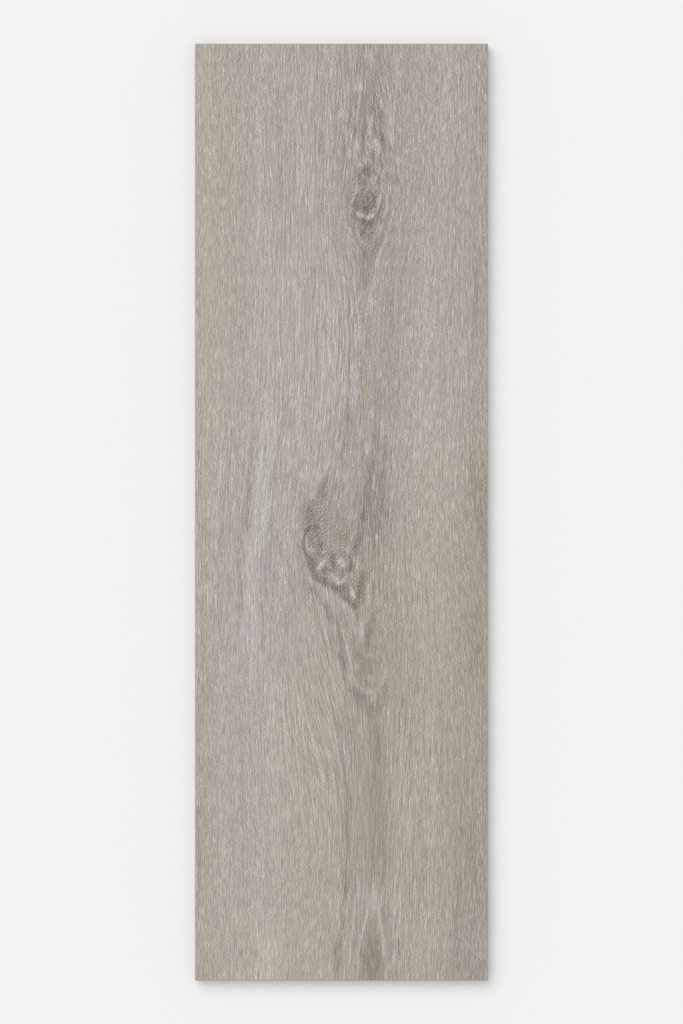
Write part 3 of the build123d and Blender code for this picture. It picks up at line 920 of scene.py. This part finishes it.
printFinish = {
    "base": (166.2, 156.5, 146.5),      # display levels of the plain print
    "ticks": [
        # width, length, detail, strength, how dark its painted shaded side is, gain where the grain flows
        (0.45, 90.0, 0.0, 14.0, 0.0, 1.2),
        (0.5, 14.0, 0.0, 34.0, 0.0, 0.6),
        (0.8, 10.0, 0.0, 21.0, 1.0, 0.5),
        (0.85, 6.5, 1.0, 54.0, 0.0, -0.35),
        (0.6, 1.4, 0.0, 42.0, 1.0, 0.0),
        (0.15, 4.0, 1.0, 26.0, 0.0, 0.0),
    ],
    "tickShift": 11.3,                  # keeps the patterns of two rows apart
    "tickShade": 0.7,                   # how far the painted shaded side lies from the lit one
    "tickCell": 3.0,                    # cells of grain within which the ticks keep their width
    "patchiness": 0.8,                  # how unevenly the ticks are inked
    "patchSize": (5.0, 60.0),
    "skew": 0.006,                      # bright ticks stand out a little more than dark ones
    "combPitch": 2.9,                   # growth lines, closer together where the grain crowds
    "combTone": 12.0,
    "combSharp": 3.0,                   # the higher, the thinner they are
    "combMiddle": 0.3,                  # so that they leave the print's mean tone alone
    "combDrift": (6.0, 50.0),           # size of the drift that bends them, and how far it does
    "combBend": 9.0,
    "combPatch": (4.0, 45.0),           # size of the patches where they show, and their edges
    "combEdge": (-0.12, 0.2),
    "curlSize": (0.6, 0.96),            # curled figure inside the knots
    "curlTone": 165.0,
    "curlGrit": (1.5, 0.6, 0.6),        # its detail, roughness and distortion
    "ripplePitch": 2.0,                 # fine waves that cross the knots aslant
    "rippleTone": 10.0,
    "rippleSize": 5.0,                  # size of what bends them, and how far it does
    "rippleBend": 14.0,
    "tickLoss": 0.55,                   # share of the straight figure that the knots lose
    "roughness": 0.55,
    "gloss": (0.07, -0.05),             # what the darkest and the brightest ticks add to it
    "glossTone": 20.0,                  # the tone at which they are darkest and brightest
    "bumpDepth": 0.04,
    "bumpTone": 0.03,                   # share of that depth for each level of tone
}
bodyFinish = {
    "base": (172, 165, 155),
    "speck": 30.0,              # clay grains
    "speckSize": 0.45,
    "cloud": 14.0,              # uneven firing
    "cloudSize": 24.0,
    "wash": 13.0,               # pale kiln wash left on the tops of the ribs
    "washHeight": (0.05, 0.35),     # where it ends
    "washSize": 7.0,
    "washEdge": (-0.15, 0.12),      # levels of the noise between rubbed and whole
    "rubbed": 0.25,             # share of the wash left where it is rubbed off
    "grinding": 16.0,           # fine lines along the ground sides
    "grindingHeight": (0.95, 1.3),  # where they begin
    "grindingScale": (40.0, 40.0, 7000.0),      # lines to a metre, along a side and up it
    "grindingRise": 0.5,        # how far they rise beside the clay grains
    "pocketFloorTone": -7.0,               # pocket floors are a little darker
    "pocketFloorReach": 0.1,          # within this of a pocket's floor
    "roughness": 0.72,
    "bumpDepth": 0.06,
}


def displayColour(tree, tone, base, tint=(0.0, 0.0, 0.0)):
    # base and tint with a tone added to all three channels, as the linear colour a shader takes;
    # the scale, the shift and the gamma are those of the display's own curve
    level = addNode(tree, "ShaderNodeCombineXYZ", {0: tone, 1: tone, 2: tone}).outputs[0]
    level = vectorCalc(tree, "ADD", vectorCalc(tree, "ADD", level, tint), base)
    scale, shift = 1 / 1.055 / 255, 0.055 / 1.055
    level = vectorCalc(tree, "MULTIPLY_ADD", level, (scale, scale, scale), (shift, shift, shift))
    return addNode(tree, "ShaderNodeGamma", {"Color": level, "Gamma": 2.4}).outputs[0]


def inkTicksAndPaintedShade(tree, grain, contrast, flow):
    # fine printed ticks along the grain; some carry a painted shaded side, a darker copy set beside each tick
    # as if the relief were lit from one side
    even = evenGrain(tree, grain, printFinish["tickCell"])
    shaded = vectorCalc(tree, "ADD", even, (printFinish["tickShade"] * mm, 0, 0))
    ticks = 0.0
    for number, (width, length, detail, strength, shade, gain) in enumerate(printFinish["ticks"]):
        shift = number * printFinish["tickShift"]
        pattern = noise(tree, stretched(tree, even, width, length, shift), detail)
        # painted shade: a darker copy of the tick, set beside it as if its relief were lit from one side
        if shade:
            dark = noise(tree, stretched(tree, shaded, width, length, shift), detail)
            pattern = calc(tree, "MULTIPLY_ADD", dark, -shade, pattern)
        strength = calc(tree, "MULTIPLY_ADD", flow, strength * gain, strength)
        ticks = calc(tree, "MULTIPLY_ADD", pattern, strength, ticks)
    patches = noise(tree, stretched(tree, even, *printFinish["patchSize"], shift=5.1), detail=1.0)
    inked = calc(tree, "MULTIPLY_ADD", patches, printFinish["patchiness"], 1.0)
    ticks = calc(tree, "MULTIPLY", ticks, calc(tree, "MULTIPLY", contrast, inked))
    return calc(tree, "MULTIPLY", ticks, calc(tree, "MULTIPLY_ADD", ticks, printFinish["skew"], 1.0))


def growthLines(tree, grain, flow):
    # thin and bright, and shown in patches
    across = addNode(tree, "ShaderNodeSeparateXYZ", {0: grain}).outputs[0]
    drift = noise(tree, stretched(tree, grain, *printFinish["combDrift"], shift=7.7), detail=1.0)
    drift = calc(tree, "MULTIPLY", drift, printFinish["combBend"])
    turns = calc(tree, "MULTIPLY_ADD", across, 2 * math.pi / (printFinish["combPitch"] * mm), drift)
    ridge = calc(tree, "MULTIPLY_ADD", calc(tree, "SINE", turns), 0.5, 0.5)
    ridge = calc(tree, "POWER", ridge, printFinish["combSharp"])
    ridge = calc(tree, "SUBTRACT", ridge, printFinish["combMiddle"])
    shown = noise(tree, stretched(tree, grain, *printFinish["combPatch"], shift=3.9), detail=1.0)
    shown = remap(tree, shown, *printFinish["combEdge"], 0.0, printFinish["combTone"])
    return calc(tree, "MULTIPLY", ridge, calc(tree, "MULTIPLY", shown, calc(tree, "ADD", flow, 1.0)))


def knotCurls(tree):
    # curled grit with fine waves across it
    place = addNode(tree, "ShaderNodeTexCoord").outputs["Object"]
    curls = noise(tree, stretched(tree, place, *printFinish["curlSize"]), *printFinish["curlGrit"])
    curls = calc(tree, "MULTIPLY", curls, printFinish["curlTone"])
    slant = 2 * math.pi / (printFinish["ripplePitch"] * mm) * math.sqrt(0.5)
    phase = vectorCalc(tree, "DOT_PRODUCT", place, (slant, -slant, 0))
    size = printFinish["rippleSize"]
    bend = noise(tree, stretched(tree, place, size, size, shift=2.2), detail=1.0)
    bend = calc(tree, "MULTIPLY_ADD", bend, printFinish["rippleBend"], phase)
    return calc(tree, "MULTIPLY_ADD", calc(tree, "SINE", bend), printFinish["rippleTone"], curls)


def printMaterial():
    material, surface = newMaterial("glazedWoodPrint")
    tree = material.node_tree
    names = ("grain", "inks", "tint", "flow")
    read = {name: addNode(tree, "ShaderNodeAttribute", attribute_name=name).outputs for name in names}
    grain, flow = read["grain"]["Vector"], read["flow"]["Fac"]
    tone, contrast, curled = addNode(tree, "ShaderNodeSeparateXYZ", {0: read["inks"]["Vector"]}).outputs

    # the curled figure takes over from the straight one inside the knots
    straight = calc(tree, "ADD", inkTicksAndPaintedShade(tree, grain, contrast, flow), growthLines(tree, grain, flow))
    left = calc(tree, "MULTIPLY_ADD", curled, -printFinish["tickLoss"], 1.0)
    straight = calc(tree, "MULTIPLY", straight, left)
    figure = calc(tree, "MULTIPLY_ADD", knotCurls(tree), curled, straight)
    tone = calc(tree, "ADD", tone, figure)
    colour = displayColour(tree, tone, printFinish["base"], read["tint"]["Vector"])
    tree.links.new(colour, surface["Base Color"])
    ends = [printFinish["roughness"] + change for change in printFinish["gloss"]]
    rough = remap(tree, figure, -printFinish["glossTone"], printFinish["glossTone"], *ends)
    tree.links.new(rough, surface["Roughness"])
    height = calc(tree, "MULTIPLY", figure, printFinish["bumpTone"])
    bump = addNode(tree, "ShaderNodeBump", {"Height": height, "Distance": printFinish["bumpDepth"] * mm})
    tree.links.new(bump.outputs[0], surface["Normal"])
    return material


def bodyMaterial():
    material, surface = newMaterial("firedClayBody")
    tree = material.node_tree
    place = addNode(tree, "ShaderNodeTexCoord").outputs["Object"]
    height = addNode(tree, "ShaderNodeSeparateXYZ", {0: place}).outputs[2]
    size, cloudSize, washSize = bodyFinish["speckSize"], bodyFinish["cloudSize"], bodyFinish["washSize"]
    speck = noise(tree, stretched(tree, place, size, size), detail=2.0)
    cloud = noise(tree, stretched(tree, place, cloudSize, cloudSize, shift=3.3), detail=3.0)
    tone = calc(tree, "MULTIPLY", speck, bodyFinish["speck"])
    tone = calc(tree, "MULTIPLY_ADD", cloud, bodyFinish["cloud"], tone)

    # kiln wash on the ribs, and pocket floors a little darker
    low, high = (level * mm for level in bodyFinish["washHeight"])
    onRibs = remap(tree, height, low, high, 1.0, 0.0)
    rubbed = noise(tree, stretched(tree, place, washSize, washSize, shift=8.8), detail=4.0)
    rubbed = remap(tree, rubbed, *bodyFinish["washEdge"], bodyFinish["rubbed"], 1.0)
    tone = calc(tree, "MULTIPLY_ADD", calc(tree, "MULTIPLY", onRibs, rubbed), bodyFinish["wash"], tone)
    inPockets = calc(tree, "COMPARE", height, backKey["depth"] * mm, bodyFinish["pocketFloorReach"] * mm)
    tone = calc(tree, "MULTIPLY_ADD", inPockets, bodyFinish["pocketFloorTone"], tone)

    # grinding lines on the sides
    low, high = (level * mm for level in bodyFinish["grindingHeight"])
    onSides = remap(tree, height, low, high, 0.0, 1.0)
    thin = vectorCalc(tree, "MULTIPLY", place, bodyFinish["grindingScale"])
    lines = calc(tree, "MULTIPLY", noise(tree, thin, detail=2.0), onSides)
    tone = calc(tree, "MULTIPLY_ADD", lines, bodyFinish["grinding"], tone)
    tree.links.new(displayColour(tree, tone, bodyFinish["base"]), surface["Base Color"])
    surface["Roughness"].default_value = bodyFinish["roughness"]
    rise = calc(tree, "MULTIPLY_ADD", lines, bodyFinish["grindingRise"], speck)
    bump = addNode(tree, "ShaderNodeBump", {"Height": rise, "Distance": bodyFinish["bumpDepth"] * mm})
    tree.links.new(bump.outputs[0], surface["Normal"])
    return material


# The tree that puts the tile together: the keys repeat over the back, and the open grain is
# pressed into the face along the grain coordinates

def treeInputs(tree):
    lengths = ("Key Pitch X", "Key Pitch Y", "Half Width", "Half Length", "Relief Margin",
               "Groove Depth", "Groove Width", "Groove Length", "Mark Depth")
    sockets = [("Geometry", "Geometry"), ("Key Cell", "Object"), ("Key Columns", "Int"), ("Key Rows", "Int")]
    sockets += [(name, "Float") for name in lengths]
    sockets += [("Seed", "Int"), ("Print", "Material"), ("Body", "Material")]
    for name, kind in sockets:
        tree.interface.new_socket(name, in_out="INPUT", socket_type="NodeSocket" + kind)
    return addNode(tree, "NodeGroupInput").outputs


def repeatKeys(tree, given):
    # the one key cell, repeated edge to edge over the back
    spanX = calc(tree, "MULTIPLY", calc(tree, "SUBTRACT", given["Key Columns"], 1.0), given["Key Pitch X"])
    spanY = calc(tree, "MULTIPLY", calc(tree, "SUBTRACT", given["Key Rows"], 1.0), given["Key Pitch Y"])
    size = {"Size X": spanX, "Size Y": spanY}
    counts = {"Vertices X": given["Key Columns"], "Vertices Y": given["Key Rows"]}
    spots = addNode(tree, "GeometryNodeMeshGrid", {**size, **counts}).outputs["Mesh"]
    cell = addNode(tree, "GeometryNodeObjectInfo", {"Object": given["Key Cell"]}).outputs["Geometry"]
    keys = addNode(tree, "GeometryNodeInstanceOnPoints", {"Points": spots, "Instance": cell}).outputs[0]
    return addNode(tree, "GeometryNodeRealizeInstances", {"Geometry": keys}).outputs[0]


def carried(tree, name, kind):
    # what the mesh carries under this name
    made = addNode(tree, "GeometryNodeInputNamedAttribute", {"Name": name}, data_type=kind)
    return made.outputs["Attribute"]


def faceRelief(tree, given):
    # how far each point of the face moves: grooves along the grain, and dark marks a little sunk
    across = calc(tree, "DIVIDE", 1.0, given["Groove Width"])
    along = calc(tree, "DIVIDE", 1.0, given["Groove Length"])
    scale = addNode(tree, "ShaderNodeCombineXYZ", {0: across, 1: along}).outputs[0]
    shift = addNode(tree, "ShaderNodeCombineXYZ", {2: given["Seed"]}).outputs[0]
    even = evenGrain(tree, carried(tree, "grain", "FLOAT_VECTOR"), plank["grooveCell"])
    lines = vectorCalc(tree, "MULTIPLY_ADD", even, scale, shift)
    groove = remap(tree, noise(tree, lines, detail=2.0), *plank["grooveEdge"], 0.0, 1.0)
    inks = carried(tree, "inks", "FLOAT_VECTOR")
    tone = addNode(tree, "ShaderNodeSeparateXYZ", {0: inks}).outputs[0]
    sunk = remap(tree, tone, *plank["markTones"], 0.0, 1.0)
    depth = calc(tree, "MULTIPLY", groove, given["Groove Depth"])
    depth = calc(tree, "MULTIPLY_ADD", sunk, given["Mark Depth"], depth)

    # nothing at the edges
    place = addNode(tree, "GeometryNodeInputPosition").outputs[0]
    place = addNode(tree, "ShaderNodeSeparateXYZ", {0: place}).outputs
    insideX = calc(tree, "SUBTRACT", given["Half Width"], calc(tree, "ABSOLUTE", place[0]))
    insideY = calc(tree, "SUBTRACT", given["Half Length"], calc(tree, "ABSOLUTE", place[1]))
    inside = remap(tree, calc(tree, "MINIMUM", insideX, insideY), 0.0, given["Relief Margin"], 0.0, 1.0)
    drop = calc(tree, "MULTIPLY", calc(tree, "MULTIPLY", depth, inside), -1.0)
    return addNode(tree, "ShaderNodeCombineXYZ", {2: drop}).outputs[0]


def tileTree():
    tree = bpy.data.node_groups.new("pressedTile", "GeometryNodeTree")
    given = treeInputs(tree)
    tree.interface.new_socket("Geometry", in_out="OUTPUT", socket_type="NodeSocketGeometry")
    joined = addNode(tree, "GeometryNodeJoinGeometry")
    tree.links.new(repeatKeys(tree, given), joined.inputs[0])
    tree.links.new(given["Geometry"], joined.inputs[0])
    welded = {"Geometry": joined.outputs[0], "Distance": plank["weld"] * mm}
    made = addNode(tree, "GeometryNodeMergeByDistance", welded).outputs[0]
    printed = carried(tree, "printed", "BOOLEAN")
    pressed = {"Geometry": made, "Selection": printed, "Offset": faceRelief(tree, given)}
    made = addNode(tree, "GeometryNodeSetPosition", pressed).outputs[0]
    made = addNode(tree, "GeometryNodeRealizeInstances", {"Geometry": made}).outputs[0]
    plain = {"Geometry": made, "Material": given["Body"]}
    made = addNode(tree, "GeometryNodeSetMaterial", plain).outputs[0]
    glazed = {"Geometry": made, "Selection": printed, "Material": given["Print"]}
    made = addNode(tree, "GeometryNodeSetMaterial", glazed).outputs[0]
    addNode(tree, "NodeGroupOutput", {"Geometry": made})
    return tree


def makeTile():
    shell = bpy.data.objects.new("woodEffectTile", shellMesh())
    cell = bpy.data.objects.new("keyCell", keyCellMesh())
    for made in (shell, cell):
        bpy.context.scene.collection.objects.link(made)
    countX, mouthX = keyRow(tileWidth)
    countY, mouthY = keyRow(tileLength)
    modifier = shell.modifiers.new("pressedTile", "NODES")
    modifier.node_group = tileTree()
    values = {
        "Key Cell": cell, "Key Columns": countX, "Key Rows": countY,
        "Key Pitch X": (mouthX + backKey["rib"]) * mm, "Key Pitch Y": (mouthY + backKey["rib"]) * mm,
        "Half Width": (tileWidth / 2 - plank["faceArris"]) * mm,
        "Half Length": (tileLength / 2 - plank["faceArris"]) * mm,
        "Relief Margin": plank["reliefMargin"] * mm, "Groove Depth": plank["grooveDepth"] * mm,
        "Groove Width": plank["grooveWidth"] * mm, "Groove Length": plank["grooveLength"] * mm,
        "Mark Depth": plank["markDepth"] * mm, "Seed": plank["seed"],
        "Print": printMaterial(), "Body": bodyMaterial(),
    }
    for item in modifier.node_group.interface.items_tree:
        if item.in_out == "INPUT" and item.name in values:
            modifier[item.identifier] = values[item.name]
    graph = bpy.context.evaluated_depsgraph_get()
    finished = bpy.data.meshes.new_from_object(shell.evaluated_get(graph), depsgraph=graph)
    shell.modifiers.clear()
    shell.data = finished
    bpy.data.objects.remove(cell)
    finished.shade_smooth()
    finished.set_sharp_from_angle(angle=math.radians(plank["sharpAngle"]))
    triangles = sum(len(face.vertices) - 2 for face in finished.polygons)
    print("tile:", len(finished.vertices), "points,", triangles, "triangles")
    return shell


tile = makeTile()
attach(tile, "root")
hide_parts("tile")
